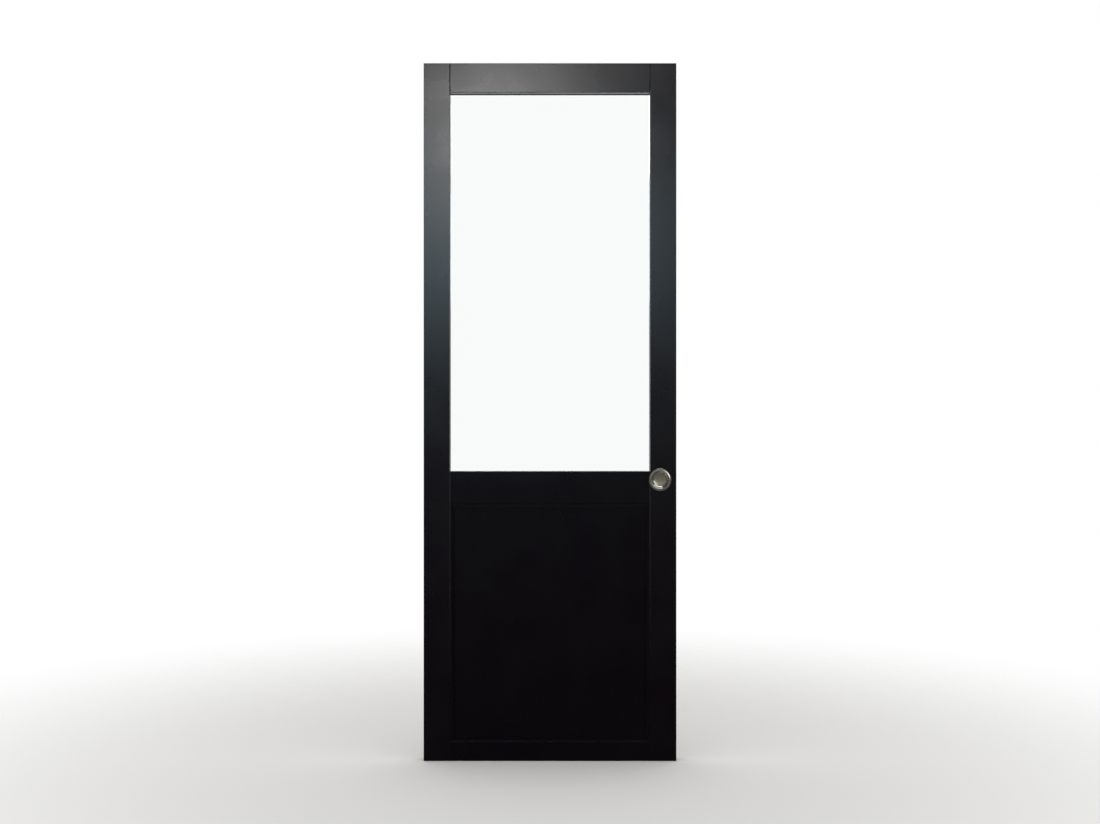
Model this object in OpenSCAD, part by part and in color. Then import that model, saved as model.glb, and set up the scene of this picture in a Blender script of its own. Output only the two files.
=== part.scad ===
// Half-glazed sliding door leaf: a stile-and-rail frame with a clear pane above,
// a recessed panel with bevelled mouldings below, and a round flush pull on each face.
//
// X runs across the leaf, to the right seen from the front. Y runs from the front
// face to the back face. Z runs up. The origin is the middle of the leaf's underside.
// All sizes are in millimetres.

/* [Leaf] */
// Overall width
leaf_w = 730; // [620:1:1000]
// Overall height
leaf_h = 2015; // [1900:1:2400]
// Thickness of the stiles and rails
leaf_t = 40; // [38:1:50]
// Radius that eases the face edges of every stile and rail
arris_r = 1.5; // [0.5:0.1:1.8]

/* [Stiles and rails] */
// Width of each stile
stile_w = 76; // [74:1:120]
// Height of the top rail
top_rail_h = 85; // [75:1:160]
// Height of the lock rail, between the pane and the panel
lock_rail_h = 94; // [85:1:200]
// Height of the bottom rail
bottom_rail_h = 56; // [50:1:250]
// Height of the lock rail's lower edge above the underside
lock_rail_z = 742; // [600:1:1000]
// Diameter of the dowels that join the rails to the stiles
dowel_d = 10; // [8:1:12]
// Length of each dowel, half of it in the stile
dowel_l = 100; // [60:1:120]
// Chamfer at each end of a dowel
dowel_chamfer = 1.5; // [0.5:0.5:2.5]
// Distance between the two dowels of a bottom joint, across the leaf
dowel_gauge = 20; // [16:1:24]
// Clearance round a dowel in its bore
dowel_fit = 0.1; // [0.05:0.05:0.3]

/* [Panel] */
// Thickness of the flat panel
panel_t = 12; // [9:1:18]
// Depth of the groove that holds the panel's edge
groove_d = 10; // [6:1:12]
// Room for the panel to swell at its sides and top
panel_gap = 1.5; // [0.8:0.1:3]
// Clearance between the panel's faces and the groove
panel_fit = 0.2; // [0.1:0.05:0.5]
// Width of the bevelled moulding, from the frame towards the panel
moulding_w = 12; // [8:1:25]
// Width of the flat along the moulding's high edge
moulding_flat = 1.5; // [1:0.5:4]
// Height of the moulding's low edge above the panel
moulding_nose = 3; // [1.5:0.5:6]
// Distance of the moulding's high edge below the face of the frame
moulding_setback = 2; // [2:0.5:5]

/* [Glazing] */
// Thickness of the pane
glass_t = 4; // [4:1:8]
// Depth of the rebate that the pane sits in, measured in the plane of the leaf
rebate_d = 8; // [7:0.5:10]
// Thickness of the frame's front lip, which the pane is bedded against
lip_t = 16; // [10:1:18]
// Gap between the pane's edge and the rebate, where the setting blocks stand
edge_gap = 2; // [1.5:0.5:3]
// Thickness of the glazing tape on each face of the pane
tape_t = 2; // [1:0.5:3]
// Width of the glazing tape
tape_w = 5; // [3:0.5:6]
// Gap where two strips of tape meet at a corner
tape_joint = 0.3; // [0.1:0.1:1]
// Distance of the beads' faces below the back face of the frame
bead_setback = 1.5; // [0.5:0.5:4]
// Radius on the beads' exposed edge
bead_r = 3; // [1:0.5:4]
// Clearance between a bead and the rebate's wall
bead_fit = 0.2; // [0.1:0.05:0.5]
// Length of each setting block
block_l = 60; // [30:1:100]

/* [Flush pulls] */
// Outside diameter of the rim
pull_d = 65; // [58:1:70]
// Diameter of the cup's mouth
mouth_d = 49; // [42:1:50]
// Depth of the middle of the cup's floor below the face of the leaf
cup_depth = 11; // [9:0.5:12]
// Radius of the cup's floor, which is a shallow dish
dish_r = 220; // [120:10:400]
// Radius between the cup's wall and its floor
cup_fillet = 8.5; // [3:0.5:9]
// Height of the rim's crown above the face of the leaf
rim_h = 2; // [1:0.1:3]
// Thickness of the rim at its outer edge
rim_edge = 0.6; // [0.3:0.1:0.9]
// Thickness of the cup's metal
pull_wall = 0.8; // [0.6:0.1:1.2]
// Clearance between the cup and its bore
pull_fit = 0.3; // [0.2:0.05:0.5]
// Distance from the leaf's right edge to the pull's centre
pull_edge = 47; // [44:1:48]
// Distance of the pull's centre below the lock rail's upper edge
pull_drop = 24; // [20:1:50]

/* [Hanging and guiding] */
// Distance from each side of the leaf to the middle of its hanger
hanger_in = 125; // [115:1:200]
// Distance along the leaf between a hanger's screw holes
hanger_pitch = 60; // [40:1:70]
// Distance across the leaf between a hanger's screw holes
hanger_gauge = 22; // [18:1:26]
// Diameter of the pilot holes in the top edge
pilot_d = 3.5; // [2.5:0.5:5]
// Depth of the pilot holes
pilot_l = 40; // [25:1:50]
// Width of the floor guide's groove in the bottom edge
guide_w = 8; // [6:0.5:12]
// Depth of the floor guide's groove
guide_d = 16; // [10:1:20]

/* [Hidden] */

$fn = 64;
// How far a cutter runs past the face that it opens through
past = 1;
// The two faces of the leaf, and the sides of an opening
front = -1;
back = 1;
SIDES = ["bottom", "right", "top", "left"];

lacquer = "#121214";
float_glass = "#d8e6e2";
foam_tape = "#1c1c1d";
block_plastic = "#3b4046";
beech = "#c8a577";
nickel = "#b9b4a8";

// Openings between the stiles and the rails
face_y = leaf_t / 2;
opening_w = leaf_w - 2 * stile_w;
lock_rail_top = lock_rail_z + lock_rail_h;
top_rail_z = leaf_h - top_rail_h;
light_h = top_rail_z - lock_rail_top;
light_z = lock_rail_top + light_h / 2;
panel_opening_h = lock_rail_z - bottom_rail_h;
panel_opening_z = bottom_rail_h + panel_opening_h / 2;
moulding_h = face_y - panel_t / 2 - moulding_setback;

// Layers of the glazing, from the back of the front lip to the beads
front_tape_y = lip_t - face_y;
glass_y = front_tape_y + tape_t;
back_tape_y = glass_y + glass_t;
bead_y = back_tape_y + tape_t;
bead_t = face_y - bead_setback - bead_y;
bead_w = rebate_d - bead_fit;
glass_in = rebate_d - edge_gap;

// Dowels at one end of each rail, as [y, z]: one above the other at the quarter heights
// of the solid wood, or side by side between the two grooves of the bottom rail
function stacked(low, high) = [for (share = [1/4, 3/4]) [0, low + share * (high - low)]];
top_dowels = stacked(top_rail_z + rebate_d, leaf_h);
lock_dowels = stacked(lock_rail_z + groove_d, lock_rail_top - rebate_d);
bottom_dowel_z = (guide_d + bottom_rail_h - groove_d) / 2;
bottom_dowels = [for (face = [front, back]) [face * dowel_gauge / 2, bottom_dowel_z]];

// Flush pulls. The cup's wall keeps a short straight part above the round, at least as
// high as the metal is thick.
pull_x = leaf_w / 2 - pull_edge;
pull_z = lock_rail_top - pull_drop;
pull_r = pull_d / 2;
mouth_r = mouth_d / 2;
cup_r = mouth_r + pull_wall;
dish_rise = mouth_r * mouth_r / (2 * dish_r);
cup_round = min(cup_fillet, cup_depth - dish_rise - pull_wall);
bore_r = cup_r + pull_fit;
bore_l = cup_depth + pull_wall + pull_fit;

// A rectangle with round corners, centred on the origin
module round_rect(w, h, r) {
    square([w - 2 * r, h], center = true);
    square([w, h - 2 * r], center = true);
    for (sx = [-1, 1], sy = [-1, 1])
        translate([sx * (w / 2 - r), sy * (h / 2 - r)]) circle(r);
}

// A stile or rail that stands on z = 0, with the edges of its front and back faces eased
module member(w, h) {
    intersection() {
        linear_extrude(h) round_rect(w, leaf_t, arris_r);
        translate([0, 0, h / 2]) rotate([90, 0, 90])
            linear_extrude(w, center = true) round_rect(leaf_t, h, arris_r);
    }
}

// Groove all round the lower opening, for the panel's edges
module panel_groove() {
    w = opening_w + 2 * groove_d;
    t = panel_t + 2 * panel_fit;
    translate([-w / 2, -t / 2, bottom_rail_h - groove_d])
        cube([w, t, panel_opening_h + 2 * groove_d]);
}

// Rebate all round the upper opening, open to the back face
module glazing_rebate() {
    w = opening_w + 2 * rebate_d;
    translate([-w / 2, front_tape_y, lock_rail_top - rebate_d])
        cube([w, leaf_t, light_h + 2 * rebate_d]);
}

// A dowel along x with chamfered ends, larger by the clearance where it cuts its bore
module dowel(clearance) {
    r = dowel_d / 2 + clearance;
    shank = dowel_l / 2 - dowel_chamfer + clearance;
    for (turn = [-90, 90]) rotate([0, turn, 0]) {
        cylinder(r = r, h = shank);
        translate([0, 0, shank]) cylinder(r1 = r, r2 = r - dowel_chamfer, h = dowel_chamfer);
    }
}

// The dowels at both ends of one rail
module dowels(spots, clearance = 0) {
    for (side = [-1, 1], spot = spots)
        translate([side * opening_w / 2, spot[0], spot[1]]) dowel(clearance);
}

// Sets its children, which stand on z = 0, on one face of the leaf at the pull's centre
module at_pull(face) {
    translate([pull_x, face * face_y, pull_z]) rotate([-90 * face, 0, 0]) children();
}

module pull_bores() {
    for (face = [front, back])
        at_pull(face) translate([0, 0, -bore_l]) cylinder(r = bore_r, h = bore_l + past);
}

// Pilot holes in the top edge for the screws of two hangers
module hanger_pilots() {
    for (side = [-1, 1], sx = [-1, 1], face = [front, back]) {
        x = side * (leaf_w / 2 - hanger_in) + sx * hanger_pitch / 2;
        translate([x, face * hanger_gauge / 2, leaf_h - pilot_l])
            cylinder(d = pilot_d, h = pilot_l + past);
    }
}

// Groove along the whole bottom edge, for a guide that is fixed to the floor
module guide_groove() {
    translate([-leaf_w / 2 - past, -guide_w / 2, -past])
        cube([leaf_w + 2 * past, guide_w, guide_d + past]);
}

// Everything that is cut from the stiles and rails
module frame_cuts() {
    panel_groove();
    glazing_rebate();
    for (spots = [top_dowels, lock_dowels, bottom_dowels]) dowels(spots, dowel_fit);
    pull_bores();
    hanger_pilots();
    guide_groove();
}

module stile(side) {
    color(lacquer) difference() {
        translate([side * (leaf_w - stile_w) / 2, 0, 0]) member(stile_w, leaf_h);
        frame_cuts();
    }
}

module rail(z, h) {
    color(lacquer) difference() {
        translate([0, 0, z]) member(opening_w, h);
        frame_cuts();
    }
}

module left_stile() { stile(-1); }
module right_stile() { stile(1); }
module top_rail() { rail(top_rail_z, top_rail_h); }
module lock_rail() { rail(lock_rail_z, lock_rail_h); }
module bottom_rail() { rail(0, bottom_rail_h); }

module top_rail_dowels() { color(beech) dowels(top_dowels); }
module lock_rail_dowels() { color(beech) dowels(lock_dowels); }
module bottom_rail_dowels() { color(beech) dowels(bottom_dowels); }

// The panel stands on the floor of the bottom rail's groove
module lower_panel() {
    w = opening_w + 2 * (groove_d - panel_gap);
    h = panel_opening_h + 2 * groove_d - panel_gap;
    color(lacquer) translate([-w / 2, -panel_t / 2, bottom_rail_h - groove_d])
        cube([w, panel_t, h]);
}

// The turn that takes the bottom side of an opening to another side
function side_turn(side) = side == "bottom" ? 0 : side == "right" ? -90 : side == "top" ? 180 : 90;
function upright(side) = side == "left" || side == "right";
function side_length(side, opening_h) = upright(side) ? opening_h : opening_w;

// Sets its children along one side of an opening. They are drawn on the bottom side,
// with x along it, z = 0 at the edge of the frame and +z into the opening.
module at_side(side, opening_h, opening_z) {
    across = upright(side) ? opening_w : opening_h;
    translate([0, 0, opening_z]) rotate([0, side_turn(side), 0])
        translate([0, 0, -across / 2]) children();
}

// A strip of the section that its child draws as [y, z], mitred to turn the corners
module mitred_strip(run, reach) {
    difference() {
        rotate([90, 0, 90]) linear_extrude(run + 2 * reach, center = true) children();
        for (turn = [0, 180]) rotate([0, 0, turn])
            translate([run / 2, 0, 0]) rotate([0, -45, 0])
                translate([0, -leaf_t, -2 * leaf_t]) cube([4 * leaf_t, 2 * leaf_t, 4 * leaf_t]);
    }
}

// Section of a panel moulding on the front: a bevel from the frame down to a low nose
module moulding_section() {
    translate([-panel_t / 2, 0]) polygon([
        [0, 0],
        [0, moulding_w],
        [-moulding_nose, moulding_w],
        [-moulding_h, moulding_flat],
        [-moulding_h, 0]
    ]);
}

module front_moulding(side) {
    color(lacquer) at_side(side, panel_opening_h, panel_opening_z)
        mitred_strip(side_length(side, panel_opening_h), 0) moulding_section();
}

module back_moulding(side) { mirror([0, 1, 0]) front_moulding(side); }

module front_moulding_bottom() { front_moulding("bottom"); }
module front_moulding_right() { front_moulding("right"); }
module front_moulding_top() { front_moulding("top"); }
module front_moulding_left() { front_moulding("left"); }
module back_moulding_bottom() { back_moulding("bottom"); }
module back_moulding_right() { back_moulding("right"); }
module back_moulding_top() { back_moulding("top"); }
module back_moulding_left() { back_moulding("left"); }

module glass_pane() {
    w = opening_w + 2 * glass_in;
    h = light_h + 2 * glass_in;
    color(float_glass, 0.4) translate([-w / 2, glass_y, light_z - h / 2]) cube([w, glass_t, h]);
}

// Blocks on the floor of the rebate, which carry the pane at its quarter points
module setting_blocks() {
    color(block_plastic) for (side = [-1, 1])
        translate([side * opening_w / 4 - block_l / 2, glass_y, lock_rail_top - rebate_d])
            cube([block_l, glass_t, edge_gap]);
}

// Tape round one face of the pane: the top and bottom strips run through, the others butt
module glazing_tape(y) {
    color(foam_tape) for (side = SIDES) {
        past_corner = upright(side) ? glass_in - tape_w - tape_joint : glass_in;
        l = side_length(side, light_h) + 2 * past_corner;
        at_side(side, light_h, light_z)
            translate([-l / 2, y, -glass_in]) cube([l, tape_t, tape_w]);
    }
}

module front_glazing_tape() { glazing_tape(front_tape_y); }
module back_glazing_tape() { glazing_tape(back_tape_y); }

// Section of a bead in its rebate, with the exposed edge rounded
module bead_section() {
    translate([bead_y, -bead_w]) {
        square([bead_t - bead_r, bead_w]);
        square([bead_t, bead_w - bead_r]);
        translate([bead_t - bead_r, bead_w - bead_r]) circle(bead_r);
    }
}

// A bead along one side of the pane. It gives way to the back pull where that reaches it.
module glazing_bead(side) {
    color(lacquer) difference() {
        at_side(side, light_h, light_z)
            mitred_strip(side_length(side, light_h), bead_w) bead_section();
        pull_bores();
    }
}

module glazing_bead_bottom() { glazing_bead("bottom"); }
module glazing_bead_right() { glazing_bead("right"); }
module glazing_bead_top() { glazing_bead("top"); }
module glazing_bead_left() { glazing_bead("left"); }

// Half section of a cup, as [radius, height], from the floor's underside up to z = 0. The
// round between wall and floor touches both: its centre lies on a line from the dish's.
module cup_half(r, depth, dish, fillet) {
    dish_z = dish - depth;
    round_x = r - fillet;
    round_z = dish_z - sqrt(pow(dish - fillet, 2) - pow(round_x, 2));
    out = 2 * fillet / (dish - fillet);
    translate([0, round_z]) square([r, -round_z]);
    intersection() {
        translate([round_x, round_z]) circle(fillet);
        translate([0, round_z - fillet]) square([r, fillet]);
    }
    intersection() {
        translate([0, dish_z]) circle(dish);
        polygon([
            [0, round_z],
            [0, -2 * depth],
            [round_x + out * round_x, round_z + out * (round_z - dish_z)],
            [round_x, round_z]
        ]);
    }
}

// Half section of a flush pull: a cup below the face of the leaf, and a crowned rim on
// that face, which rolls into the mouth
module pull_section() {
    crest_r = mouth_r + rim_h;
    reach = pull_r - crest_r;
    fall = rim_h - rim_edge;
    crown_r = (reach * reach + fall * fall) / (2 * fall);
    difference() {
        cup_half(cup_r, cup_depth + pull_wall, dish_r + pull_wall, cup_round + pull_wall);
        cup_half(mouth_r, cup_depth, dish_r, cup_round);
    }
    intersection() {
        translate([crest_r, 0]) circle(rim_h);
        translate([mouth_r, 0]) square(rim_h);
    }
    intersection() {
        translate([crest_r, rim_h - crown_r]) circle(crown_r);
        translate([crest_r, 0]) square([reach, rim_h]);
    }
}

module flush_pull(face) { color(nickel) at_pull(face) rotate_extrude() pull_section(); }

module front_flush_pull() { flush_pull(front); }
module back_flush_pull() { flush_pull(back); }

left_stile();
right_stile();
top_rail();
lock_rail();
bottom_rail();
top_rail_dowels();
lock_rail_dowels();
bottom_rail_dowels();
lower_panel();
front_moulding_bottom();
front_moulding_right();
front_moulding_top();
front_moulding_left();
back_moulding_bottom();
back_moulding_right();
back_moulding_top();
back_moulding_left();
glass_pane();
setting_blocks();
front_glazing_tape();
back_glazing_tape();
glazing_bead_bottom();
glazing_bead_right();
glazing_bead_top();
glazing_bead_left();
front_flush_pull();
back_flush_pull();
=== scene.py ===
"""A half-glazed sliding door leaf in satin black lacquer, dressed for close views.

The leaf is 730 x 2015 x 40 mm. X runs across it to the right, Y from its front face to its
back face, Z up, and the origin is the middle of its underside. Lengths are in metres.
"""
import math

import bmesh
import bpy
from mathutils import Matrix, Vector


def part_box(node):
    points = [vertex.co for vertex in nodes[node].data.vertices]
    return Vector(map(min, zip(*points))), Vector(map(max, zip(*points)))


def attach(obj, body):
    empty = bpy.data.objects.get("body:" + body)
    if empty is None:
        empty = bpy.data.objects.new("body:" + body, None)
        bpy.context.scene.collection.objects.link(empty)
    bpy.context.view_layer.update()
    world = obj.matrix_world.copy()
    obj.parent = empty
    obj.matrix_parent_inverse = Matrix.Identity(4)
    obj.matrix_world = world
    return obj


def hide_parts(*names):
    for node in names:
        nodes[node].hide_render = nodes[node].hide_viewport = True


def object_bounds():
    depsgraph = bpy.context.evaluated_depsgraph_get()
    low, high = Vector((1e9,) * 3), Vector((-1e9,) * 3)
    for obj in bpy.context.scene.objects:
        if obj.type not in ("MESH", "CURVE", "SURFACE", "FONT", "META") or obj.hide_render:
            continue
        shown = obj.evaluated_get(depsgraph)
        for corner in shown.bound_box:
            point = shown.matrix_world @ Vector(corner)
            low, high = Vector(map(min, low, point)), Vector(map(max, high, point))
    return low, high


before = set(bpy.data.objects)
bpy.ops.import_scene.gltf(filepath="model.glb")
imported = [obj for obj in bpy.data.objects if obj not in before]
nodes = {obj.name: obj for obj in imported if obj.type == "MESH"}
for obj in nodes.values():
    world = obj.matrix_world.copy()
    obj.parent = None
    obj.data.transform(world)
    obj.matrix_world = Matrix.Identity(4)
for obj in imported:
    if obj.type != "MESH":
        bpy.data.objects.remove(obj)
cad_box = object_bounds()

# Stiles and rails
# Two stiles and three rails, planed square with eased edges, dowelled and glued into one frame.
# The timber is filled, primed and sprayed, so no grain shows.
MM = 0.001


def linear(hex_colour):
    """The linear RGBA of an sRGB hex colour."""
    parts = [int(hex_colour[i:i + 2], 16) / 255 for i in (1, 3, 5)]
    rgb = [p / 12.92 if p <= 0.04045 else ((p + 0.055) / 1.055) ** 2.4 for p in parts]
    return (*rgb, 1.0)


def add_node(tree, kind, settings=None, ramp=(), **inputs):
    """Adds a node with its settings, a ramp's (place, hex colour) stops, and its inputs by name,
    as values or as outputs to link. An underscore stands for a space in an input's name, and i1
    for the input of that number."""
    node = tree.nodes.new(kind)
    for name, value in (settings or {}).items():
        setattr(node, name, value)
    for stop, (place, hex_colour) in zip(node.color_ramp.elements if ramp else (), ramp):
        stop.position = place
        stop.color = linear(hex_colour)
    for name, value in inputs.items():
        socket = node.inputs[int(name[1:]) if name[1:].isdigit() else name.replace("_", " ")]
        if isinstance(value, bpy.types.NodeSocket):
            tree.links.new(value, socket)
        else:
            socket.default_value = value
    return node


def empty_material(name):
    """A new material and its node tree, with nothing in it yet."""
    material = bpy.data.materials.new(name)
    material.use_nodes = True
    material.node_tree.nodes.clear()
    return material, material.node_tree


def dress(material, *names):
    """Gives these nodes of the frame one material."""
    for name in names:
        nodes[name].data.materials.clear()
        nodes[name].data.materials.append(material)


# Satin black lacquer, sprayed over primer: a near-black film with a soft, even sheen. The spray
# leaves a fine orange peel, and the sheen drifts a little from one pass of the gun to the next.
orange_peel = 2.0 * MM
orange_peel_height = 0.01 * MM
spray_pass = 140 * MM

# Values of the drift's noise at a thin pass of the gun and at a full one.
thin_pass = 0.2
full_pass = 0.8

lacquer, paint = empty_material("satin_black_lacquer")
spot = add_node(paint, "ShaderNodeTexCoord").outputs["Object"]
peel = add_node(paint, "ShaderNodeTexNoise", Vector=spot, Scale=1 / orange_peel, Detail=1.0)
drift = add_node(paint, "ShaderNodeTexNoise", Vector=spot, Scale=1 / spray_pass, Detail=2.0)
film = add_node(
    paint, "ShaderNodeValToRGB", ramp=((thin_pass, "#070207"), (full_pass, "#090408")),
    Fac=drift.outputs["Fac"])
sheen = add_node(
    paint, "ShaderNodeMapRange", Value=drift.outputs["Fac"],
    From_Min=thin_pass, From_Max=full_pass, To_Min=0.25, To_Max=0.305)
skin = add_node(
    paint, "ShaderNodeBump", Height=peel.outputs["Fac"], Strength=1.0, Distance=orange_peel_height)
coat = add_node(
    paint, "ShaderNodeBsdfPrincipled", Base_Color=film.outputs["Color"], IOR=1.5,
    Roughness=sheen.outputs["Result"], Normal=skin.outputs["Normal"])
add_node(paint, "ShaderNodeOutputMaterial", Surface=coat.outputs["BSDF"])
dress(lacquer, "left_stile", "right_stile", "top_rail", "lock_rail", "bottom_rail")

# Dowels
# Round beech pegs with chamfered ends, glued half in the rail and half in the stile. They lie
# along X and are hidden once the frame is closed.

# Bare beech, cut along its grain: pale and pinkish, with short darker flecks between the fibres.
fibre = 0.6 * MM
fibre_run = 14 * MM
fibre_height = 0.03 * MM

beech, grain = empty_material("bare_beech")
spot = add_node(grain, "ShaderNodeTexCoord").outputs["Object"]
along = add_node(
    grain, "ShaderNodeMapping", Vector=spot, Scale=(1 / fibre_run, 1 / fibre, 1 / fibre))
fleck = add_node(grain, "ShaderNodeTexNoise", Vector=along.outputs["Vector"], Scale=1.0, Detail=3.0)
tone = add_node(
    grain, "ShaderNodeValToRGB", ramp=((0.35, "#a97d52"), (0.6, "#cda77a")),
    Fac=fleck.outputs["Fac"])
ridge = add_node(
    grain, "ShaderNodeBump", Height=fleck.outputs["Fac"], Strength=0.5, Distance=fibre_height)
wood = add_node(
    grain, "ShaderNodeBsdfPrincipled", Base_Color=tone.outputs["Color"], Roughness=0.62,
    Normal=ridge.outputs["Normal"])
add_node(grain, "ShaderNodeOutputMaterial", Surface=wood.outputs["BSDF"])
dress(beech, "top_rail_dowels", "lock_rail_dowels", "bottom_rail_dowels")

# Lower panel
# One flat board, loose in a groove round the lower opening, so that it can swell without straining
# the joints. It is sprayed with the frame.
dress(lacquer, "lower_panel")

# Panel mouldings
# Bevelled strips, mitred at the corners and glued to the frame on both faces of the panel, which
# stays loose between them. They are sprayed with the rest.
SIDES = ("bottom", "right", "top", "left")
lacquer_ease = 0.4 * MM
ease_segments = 3
weld_reach = 0.001 * MM


def ease_edges(width, *names):
    """Rounds the sharp edges of these nodes by modifiers, which leave the frame's meshes alone."""
    for name in names:
        weld = nodes[name].modifiers.new("weld", "WELD")
        weld.merge_threshold = weld_reach
        ease = nodes[name].modifiers.new("ease", "BEVEL")
        ease.width = width
        ease.segments = ease_segments
        ease.harden_normals = True


for face in ("front", "back"):
    mouldings = [f"{face}_moulding_{side}" for side in SIDES]
    dress(lacquer, *mouldings)
    ease_edges(lacquer_ease, *mouldings)

# Setting blocks
# Two short blocks of moulded plastic on the floor of the rebate. They carry the weight of the pane
# and keep its edge off the timber.

# Polypropylene, injection moulded: a dull grey with the fine spark texture of its mould.
spark_grit = 0.4 * MM
spark_height = 0.02 * MM

polypropylene, moulded = empty_material("moulded_polypropylene")
spot = add_node(moulded, "ShaderNodeTexCoord").outputs["Object"]
grit = add_node(moulded, "ShaderNodeTexNoise", Vector=spot, Scale=1 / spark_grit, Detail=2.0)
dull = add_node(
    moulded, "ShaderNodeMapRange", Value=grit.outputs["Fac"], To_Min=0.42, To_Max=0.6)
pitted = add_node(
    moulded, "ShaderNodeBump", Height=grit.outputs["Fac"], Strength=0.6, Distance=spark_height)
plastic = add_node(
    moulded, "ShaderNodeBsdfPrincipled", Base_Color=linear("#3b4046"), IOR=1.49,
    Roughness=dull.outputs["Result"], Normal=pitted.outputs["Normal"])
add_node(moulded, "ShaderNodeOutputMaterial", Surface=plastic.outputs["BSDF"])
dress(polypropylene, "setting_blocks")

# Glazing tape
# A strip of foam on each face of the pane, set a little back from the edge of the frame. It beds
# the glass against the front lip, and the beads against the glass.

# Closed-cell foam: dead black and matt, with small burst cells whose pits hold painted shade.
foam_cell = 0.5 * MM
foam_cell_depth = 0.1 * MM

foam, cells = empty_material("closed_cell_foam")
spot = add_node(cells, "ShaderNodeTexCoord").outputs["Object"]
cell = add_node(
    cells, "ShaderNodeTexVoronoi", {"feature": "F1"}, Vector=spot, Scale=1 / foam_cell)
# Painted shade: the colour darkens towards the pit in the middle of each cell and lightens on its
# rim.
shade = add_node(
    cells, "ShaderNodeValToRGB", ramp=((0.1, "#0e0e0e"), (0.7, "#1b1b1c")),
    Fac=cell.outputs["Distance"])
burst = add_node(
    cells, "ShaderNodeBump", Height=cell.outputs["Distance"], Strength=0.8,
    Distance=foam_cell_depth)
rubber = add_node(
    cells, "ShaderNodeBsdfPrincipled", Base_Color=shade.outputs["Color"], Roughness=0.85,
    Normal=burst.outputs["Normal"])
add_node(cells, "ShaderNodeOutputMaterial", Surface=rubber.outputs["BSDF"])
dress(foam, "front_glazing_tape", "back_glazing_tape")

# Pane
# One sheet of 4 mm float glass, cut square with seamed edges. It stands on the setting blocks in
# the rebate, between the two tapes.
glass_seam = 0.5 * MM

# Float glass: clear, flat and bright, with the green of its iron only where it is seen edge on.
# It keeps almost no light back, so it casts no shadow.
glass, pane = empty_material("float_glass")
clear = add_node(
    pane, "ShaderNodeBsdfPrincipled", Base_Color=linear("#fdfffe"), IOR=1.52, Roughness=0.0,
    Transmission_Weight=1.0)
add_node(pane, "ShaderNodeOutputMaterial", Surface=clear.outputs["BSDF"])
dress(glass, "glass_pane")
ease_edges(glass_seam, "glass_pane")
nodes["glass_pane"].visible_shadow = False

# Glazing beads
# Four strips with a rounded edge, mitred at the corners, pressed into the rebate behind the pane
# and sprayed with the frame.
beads = [f"glazing_bead_{side}" for side in SIDES]
dress(lacquer, *beads)
ease_edges(lacquer_ease, *beads)

# Bead pins
# Panel pins through the flat of each bead into the frame, punched just below the surface, stopped
# with filler and sprayed over. Each leaves a small ring with a shallow dip.
pin_spacing = 240 * MM
pin_end = 60 * MM
pin_flat = 2.4 * MM
pin_sides = 20

# The mark of a pin from its middle outwards, as (radius, height over the bead) in millimetres.
pin_profile = [(0.0, 0.03), (0.5, 0.04), (0.85, 0.1), (1.05, 0.08), (1.2, 0.0), (1.2, -0.1)]

pins = bmesh.new()
for side in SIDES:
    low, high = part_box(f"glazing_bead_{side}")
    upright = side in ("left", "right")
    start, end = (low.z, high.z) if upright else (low.x, high.x)
    gaps = math.ceil((end - start - 2 * pin_end) / pin_spacing)
    edge = {"bottom": low.z, "right": high.x, "top": high.z, "left": low.x}[side]
    inward = 1 if side in ("bottom", "left") else -1
    for i in range(gaps + 1):
        run = start + pin_end + i * (end - start - 2 * pin_end) / gaps
        across = edge + inward * pin_flat
        centre = Vector((across, high.y, run) if upright else (run, high.y, across))
        rings = []
        for radius, height in pin_profile[1:]:
            ring = []
            for k in range(pin_sides):
                turn = 2 * math.pi * k / pin_sides
                out = Vector((math.cos(turn), 0, math.sin(turn))) * radius * MM
                ring.append(pins.verts.new(centre + out + Vector((0, height * MM, 0))))
            rings.append(ring)
        pins.faces.new(rings[-1])
        dip = pins.verts.new(centre + Vector((0, pin_profile[0][1] * MM, 0)))
        for k in range(pin_sides):
            after = (k + 1) % pin_sides
            pins.faces.new((dip, rings[0][after], rings[0][k]))
            for inner, outer in zip(rings, rings[1:]):
                pins.faces.new((inner[k], inner[after], outer[after], outer[k]))
bmesh.ops.recalc_face_normals(pins, faces=pins.faces)
pin_mesh = bpy.data.meshes.new("bead_pins")
pins.to_mesh(pin_mesh)
pins.free()
bead_pins = bpy.data.objects.new("bead_pins", pin_mesh)
bpy.context.scene.collection.objects.link(bead_pins)
pin_mesh.shade_smooth()
pin_mesh.materials.append(lacquer)
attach(bead_pins, "root")

# Flush pulls
# A round cup in each face of the right stile, pressed from sheet metal with a dished floor and a
# crowned rim that covers the edge of its bore. It is glued in, so no screw shows.
mouth_r = 24.5 * MM
dish_r = 220 * MM
cup_fillet = 8.5 * MM
pull_wall = 0.8 * MM
rim_edge = 0.6 * MM
edge_round = 0.25 * MM

# Steps round the pull, in the wide arcs of its section, in the tight or hidden ones and at the rim's
# tip. A ring closer to the middle than on_axis is one point, and edges past sharp_edge stay crisp.
pull_segments = 160
wide_steps = 16
tight_steps = 10
tip_steps = 5
on_axis = 0.01 * MM
sharp_edge = math.radians(40)

pull_low, pull_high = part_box("front_flush_pull")
pull_centre = (pull_low + pull_high) / 2
pull_r = (pull_high.x - pull_low.x) / 2
stile_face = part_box("right_stile")[0].y
rim_h = stile_face - pull_low.y
cup_depth = pull_high.y - stile_face - pull_wall


def arc(centre, radius, start, end, steps):
    """Points on an arc of the section, as (radius, height), from one angle in degrees to another."""
    turns = [math.radians(start + (end - start) * i / steps) for i in range(steps + 1)]
    return [(centre[0] + radius * math.cos(t), centre[1] + radius * math.sin(t)) for t in turns]


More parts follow.
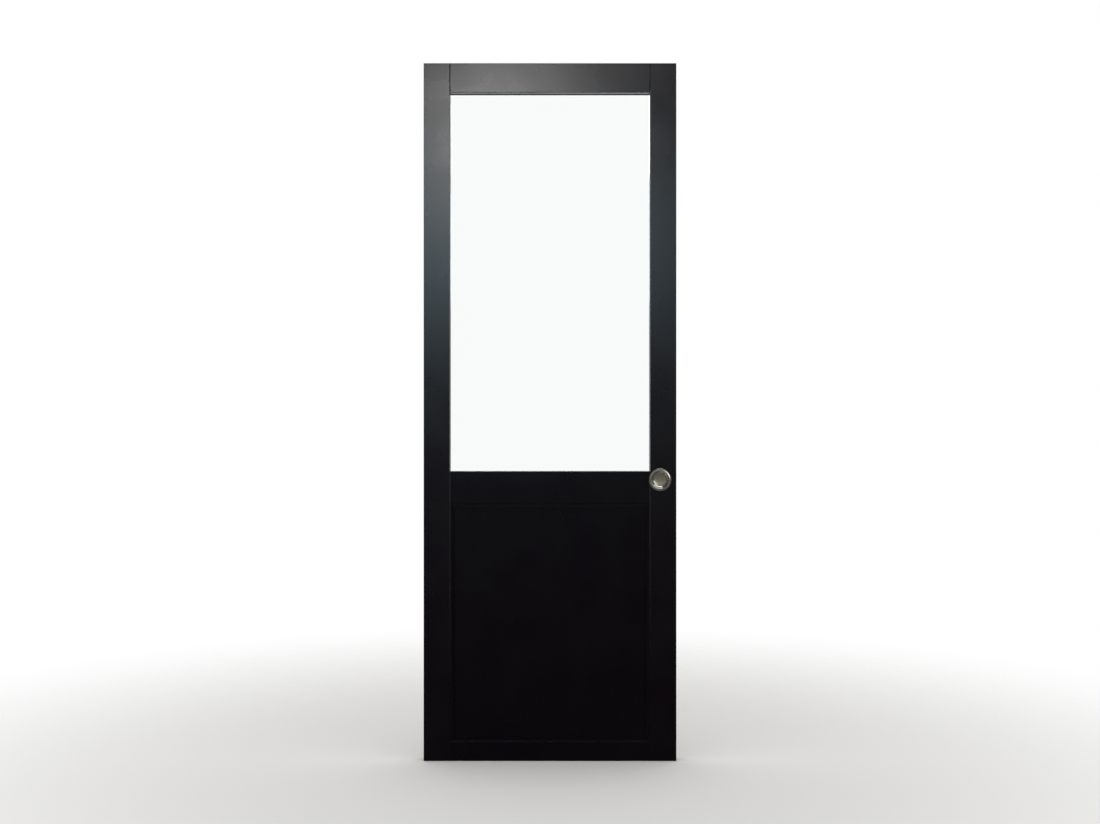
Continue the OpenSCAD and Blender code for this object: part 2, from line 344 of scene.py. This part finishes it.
def cup_line(grow, steps):
    """The cup's section from the middle of its floor up to the face of the leaf. It is the inside,
    or the outside where it is grown by the metal's thickness."""
    round_x = mouth_r - cup_fillet
    dish_z = dish_r - cup_depth
    round_z = dish_z - math.sqrt((dish_r - cup_fillet) ** 2 - round_x ** 2)
    lift = math.degrees(math.asin(round_x / (dish_r - cup_fillet)))
    dish = arc((0, dish_z), dish_r + grow, -90, lift - 90, steps)
    bend = arc((round_x, round_z), cup_fillet + grow, lift - 90, 0, steps)
    return dish + bend[1:] + [(mouth_r + grow, 0.0)]


crest_r = mouth_r + rim_h
reach = pull_r - crest_r
fall = rim_h - rim_edge
crown_r = (reach ** 2 + fall ** 2) / (2 * fall)
crown_end = math.asin((reach - edge_round) / crown_r)
crown_turn = 90 - math.degrees(crown_end)
roll = arc((crest_r, 0), rim_h, 180, 90, tight_steps)
crown = arc((crest_r, rim_h - crown_r), crown_r, 90, crown_turn, wide_steps)
tip_r = edge_round / (1 - math.sin(crown_end))
tip_x = crown[-1][0] - tip_r * math.sin(crown_end)
tip_z = crown[-1][1] - tip_r * math.cos(crown_end)
tip = arc((tip_x, tip_z), tip_r, crown_turn, 0, tip_steps)
section = cup_line(0.0, wide_steps) + roll[1:] + crown[1:] + tip[1:] + [(pull_r, 0.0)]
section += reversed(cup_line(pull_wall, tight_steps))

pulls = []
for face, side in (("front", -1), ("back", 1)):
    lathe = bmesh.new()
    rings = []
    for radius, height in section:
        y = side * (height - stile_face)
        points = pull_segments if radius > on_axis else 1
        turns = [2 * math.pi * k / pull_segments for k in range(points)]
        rings.append([
            lathe.verts.new((
                pull_centre.x + radius * math.cos(t), y, pull_centre.z + radius * math.sin(t)))
            for t in turns])
    for ring, after in zip(rings, rings[1:]):
        for k in range(pull_segments):
            there = (k + 1) % pull_segments
            corners = [
                loop[point % len(loop)]
                for loop, point in ((ring, k), (ring, there), (after, there), (after, k))]
            lathe.faces.new(dict.fromkeys(corners))
    bmesh.ops.recalc_face_normals(lathe, faces=lathe.faces)
    for edge in lathe.edges:
        edge.smooth = edge.calc_face_angle() < sharp_edge
    pull_mesh = bpy.data.meshes.new(f"{face}_pull")
    lathe.to_mesh(pull_mesh)
    lathe.free()
    pull_mesh.polygons.foreach_set("use_smooth", [True] * len(pull_mesh.polygons))
    pull = bpy.data.objects.new(f"{face}_pull", pull_mesh)
    bpy.context.scene.collection.objects.link(pull)
    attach(pull, "root")
    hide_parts(f"{face}_flush_pull")
    pulls.append(pull)

# Polished nickel plate: warm white metal, nearly a mirror, with the faint rings of the buffing
# lathe round its middle. The rings are drawn wider than the real ones so that they show.
buffing_ring = 0.5 * MM
buffing_height = 0.004 * MM
smear = 9 * MM

# The wave texture's rings are this far apart at a scale of 1.
wave_ring = 2 * math.pi / 20

nickel, plate = empty_material("polished_nickel")
spot = add_node(plate, "ShaderNodeTexCoord").outputs["Object"]
turned = add_node(plate, "ShaderNodeMapping", Vector=spot, Location=-pull_centre)
ring_wave = add_node(
    plate, "ShaderNodeTexWave", {"wave_type": "RINGS", "rings_direction": "Y"},
    Vector=turned.outputs["Vector"], Scale=wave_ring / buffing_ring, Distortion=2.0,
    Detail=2.0, Detail_Scale=2.0)
haze = add_node(plate, "ShaderNodeTexNoise", Vector=spot, Scale=1 / smear, Detail=3.0)
polish = add_node(
    plate, "ShaderNodeMapRange", Value=haze.outputs["Fac"],
    From_Min=0.3, From_Max=0.7, To_Min=0.12, To_Max=0.2)
buffed = add_node(
    plate, "ShaderNodeBump", Height=ring_wave.outputs["Fac"], Strength=0.3,
    Distance=buffing_height)
metal = add_node(
    plate, "ShaderNodeBsdfPrincipled", Base_Color=linear("#cecbc5"), Metallic=1.0,
    Roughness=polish.outputs["Result"], Normal=buffed.outputs["Normal"])
add_node(plate, "ShaderNodeOutputMaterial", Surface=metal.outputs["BSDF"])
for pull in pulls:
    pull.data.materials.append(nickel)

# Floor
# A pale sheet of studio paper just under the leaf, which takes its shadow and fades out into the
# white round it.
floor_drop = 1 * MM
floor_radius = 2.6
floor_full = 0.7
floor_segments = 96

paper, sheet = empty_material("studio_paper")
spot = add_node(sheet, "ShaderNodeTexCoord").outputs["Object"]
away = add_node(sheet, "ShaderNodeVectorMath", {"operation": "LENGTH"}, Vector=spot)
fade = add_node(
    sheet, "ShaderNodeMapRange", {"interpolation_type": "SMOOTHSTEP"},
    Value=away.outputs["Value"], From_Min=floor_full, From_Max=floor_radius)
matt = add_node(sheet, "ShaderNodeBsdfDiffuse", Color=linear("#f4f3f1"))
nothing = add_node(sheet, "ShaderNodeBsdfTransparent")
mixed = add_node(
    sheet, "ShaderNodeMixShader", Fac=fade.outputs["Result"],
    i1=matt.outputs["BSDF"], i2=nothing.outputs["BSDF"])
add_node(sheet, "ShaderNodeOutputMaterial", Surface=mixed.outputs["Shader"])

disc = bmesh.new()
bmesh.ops.create_circle(disc, cap_ends=True, segments=floor_segments, radius=floor_radius)
floor_mesh = bpy.data.meshes.new("floor")
disc.to_mesh(floor_mesh)
disc.free()
floor_mesh.materials.append(paper)
floor = bpy.data.objects.new("floor", floor_mesh)
floor.location.z = -floor_drop
floor.visible_glossy = False
bpy.context.scene.collection.objects.link(floor)

# Studio walls
# Dim flags all round, over and under the leaf, seen only in reflections, so that the black
# lacquer stays black.
wall_radius = 6.5
wall_height = 6.0
wall_drop = 4 * floor_drop
wall_segments = 64

dusk, flags = empty_material("dim_flags")
glow = add_node(flags, "ShaderNodeEmission", Color=linear("#2a252b"), Strength=1.0)
add_node(flags, "ShaderNodeOutputMaterial", Surface=glow.outputs["Emission"])

drum = bmesh.new()
bmesh.ops.create_cone(
    drum, cap_ends=True, segments=wall_segments, radius1=wall_radius, radius2=wall_radius,
    depth=wall_height)
bmesh.ops.translate(drum, verts=drum.verts, vec=(0, 0, wall_height / 2 - wall_drop))
wall_mesh = bpy.data.meshes.new("studio_walls")
drum.to_mesh(wall_mesh)
drum.free()
wall_mesh.materials.append(dusk)
walls = bpy.data.objects.new("studio_walls", wall_mesh)
for ray in ("camera", "diffuse", "transmission", "volume_scatter", "shadow"):
    setattr(walls, f"visible_{ray}", False)
bpy.context.scene.collection.objects.link(walls)

# Lamps
# Soft boxes before both faces of the leaf and at its ends, rafters over it, strips at its corners
# and cards all round. Most are flagged off all but one group of pieces: the lacquer mirrors boxes,
# rafters and strips, the nickel a window, a skylight and the cards, the top bevels a low glow.
box_away = 3.9
end_away = 4.2
card_away = 5.8
card_w = 9
card_h = 5
glow_away = 0.26
strip_radius = 4.2
strip_middle = 1.5
leaf_middle = (cad_box[0] + cad_box[1]) / 2


def lit_group(name, pieces):
    """A group of pieces that a lamp may light alone."""
    group = bpy.data.collections.new(name)
    for piece in pieces:
        group.objects.link(piece)
    return group


def soft_box(name, centre, size, radiance, hex_colour, lights=None, aim=None):
    """An area lamp of this size and brightness that faces aim, or else stands square to the leaf.
    It isn't seen itself, and where a group of pieces is given it lights only those."""
    lamp = bpy.data.lights.new(name, "AREA")
    lamp.shape = "RECTANGLE"
    lamp.size, lamp.size_y = size
    area = size[0] * size[1]
    lamp.energy = radiance * math.pi * area
    lamp.color = linear(hex_colour)[:3]
    box = bpy.data.objects.new(name, lamp)
    box.location = centre
    way = Vector(aim or (centre[0], 0, centre[2])) - Vector(centre)
    box.rotation_euler = way.to_track_quat("-Z", "Y").to_euler()
    box.visible_camera = False
    box.visible_transmission = False
    box.light_linking.receiver_collection = lights
    bpy.context.scene.collection.objects.link(box)
    return box


black = [piece for piece in (*nodes.values(), bead_pins) if piece.data.materials[0] == lacquer]
lacquered = lit_group("lacquered", black)
glazed = lit_group("glazed", [*black, nodes["glass_pane"]])
plated = lit_group("plated", pulls)
framed = lit_group(
    "framed", [nodes[name] for name in ("left_stile", "right_stile", "top_rail", *beads)])
top_bevels = lit_group("top_bevels", [nodes[f"{face}_moulding_top"] for face in ("front", "back")])
for face, side in (("front", -1), ("back", 1)):
    near, far, close = box_away * side, card_away * side, glow_away * side
    soft_box(f"{face}_high_box", (-0.32, near, 2.67), (0.5, 0.58), 25.0, "#fffcfa", framed)
    soft_box(f"{face}_cool_box", (-0.69, near, 1.96), (2.8, 0.63), 3.3, "#c5edff", lacquered)
    soft_box(f"{face}_window", (1.95, near, 1.37), (1.75, 0.9), 2.0, "#fafdff", plated)
    soft_box(
        f"{face}_skylight", (2.2, 1.9 * side, 4.43), (5.6, 1.5), 3.0, "#fffff1", plated,
        aim=(2.2, 0, 0.81))
    soft_box(f"{face}_low_card", (0, far, 0.3), (card_w, 1.0), 0.13, "#fcffc8", plated)
    soft_box(f"{face}_middle_card", (0, far, 1.4), (card_w, 1.2), 0.28, "#fffed1", plated)
    soft_box(f"{face}_high_card", (0, far, 3.5), (card_w, 3.0), 0.17, "#ffffff", plated)
    soft_box(
        f"{face}_rafter", (0, 3.2 * side, 4.6), (5.0, 1.0), 2.0, "#ffffff", framed,
        aim=(0, 0, 2.0))
    soft_box(
        f"{face}_foot_glow", (0, close, 0), (0.9, 0.44), 0.12, "#ffffff", top_bevels,
        aim=(0, close, 1))
for name, centre, size in (
        ("left_card", (-card_w / 2, 0, card_h / 2), (2 * card_away, card_h)),
        ("right_card", (card_w / 2, 0, card_h / 2), (2 * card_away, card_h)),
        ("floor_card", (0, 0, 0), (card_w, 2 * card_away)),
        ("ceiling_card", (0, 0, card_h), (card_w, 2 * card_away))):
    soft_box(name, centre, size, 0.11, "#f4f8ff", plated, aim=(0, 0, card_h / 2))
for end, x in (("left", -end_away), ("right", end_away)):
    soft_box(
        f"{end}_high_box", (x, 0, 2.9), (1.0, 1.4), 6.0, "#ffffff", lacquered, aim=(0, 0, 2.9))
top_box = soft_box("top_box", (0, 0, 4.2), (2.5, 2.5), 1.2, "#ffffff", aim=leaf_middle)
top_box.visible_glossy = False
for corner in range(4):
    turn = math.radians(45 + 90 * corner)
    place = (strip_radius * math.cos(turn), strip_radius * math.sin(turn), strip_middle)
    soft_box(
        f"corner_strip_{corner + 1}", place, (1.5, 3.0), 2.4, "#ffffff", glazed,
        aim=(0, 0, strip_middle))

# White studio
# White behind everything that is looked at, mirrored or seen through the pane, and a softer
# white as the fill that lights the leaf from all round.
fill = 0.7

studio = bpy.data.worlds.new("white_studio")
studio.use_nodes = True
studio.node_tree.nodes.clear()
sky = studio.node_tree
path = add_node(sky, "ShaderNodeLightPath")
looked_at = add_node(
    sky, "ShaderNodeMath", {"operation": "MAXIMUM"},
    i0=path.outputs["Is Camera Ray"], i1=path.outputs["Is Glossy Ray"])
seen = add_node(
    sky, "ShaderNodeMath", {"operation": "MAXIMUM"},
    i0=looked_at.outputs["Value"], i1=path.outputs["Is Transmission Ray"])
level = add_node(
    sky, "ShaderNodeMapRange", Value=seen.outputs["Value"], To_Min=fill, To_Max=1.0)
white = add_node(
    sky, "ShaderNodeBackground", Color=linear("#ffffff"), Strength=level.outputs["Result"])
add_node(sky, "ShaderNodeOutputWorld", Surface=white.outputs["Background"])
bpy.context.scene.world = studio

# Camera
# Square to the leaf at the middle of its height, at the distance that gives the photograph's view
# of the opening's depth.
camera_distance = 3.95
view_width = 3.175

eye = bpy.data.cameras.new("camera")
eye.sensor_width = 36
eye.lens = eye.sensor_width * camera_distance / view_width
camera = bpy.data.objects.new("camera", eye)
camera.location = (0, cad_box[0].y - camera_distance, leaf_middle.z)
camera.rotation_euler = (math.radians(90), 0, 0)
bpy.context.scene.collection.objects.link(camera)
bpy.context.scene.camera = camera
bpy.context.scene.view_settings.view_transform = "Standard"
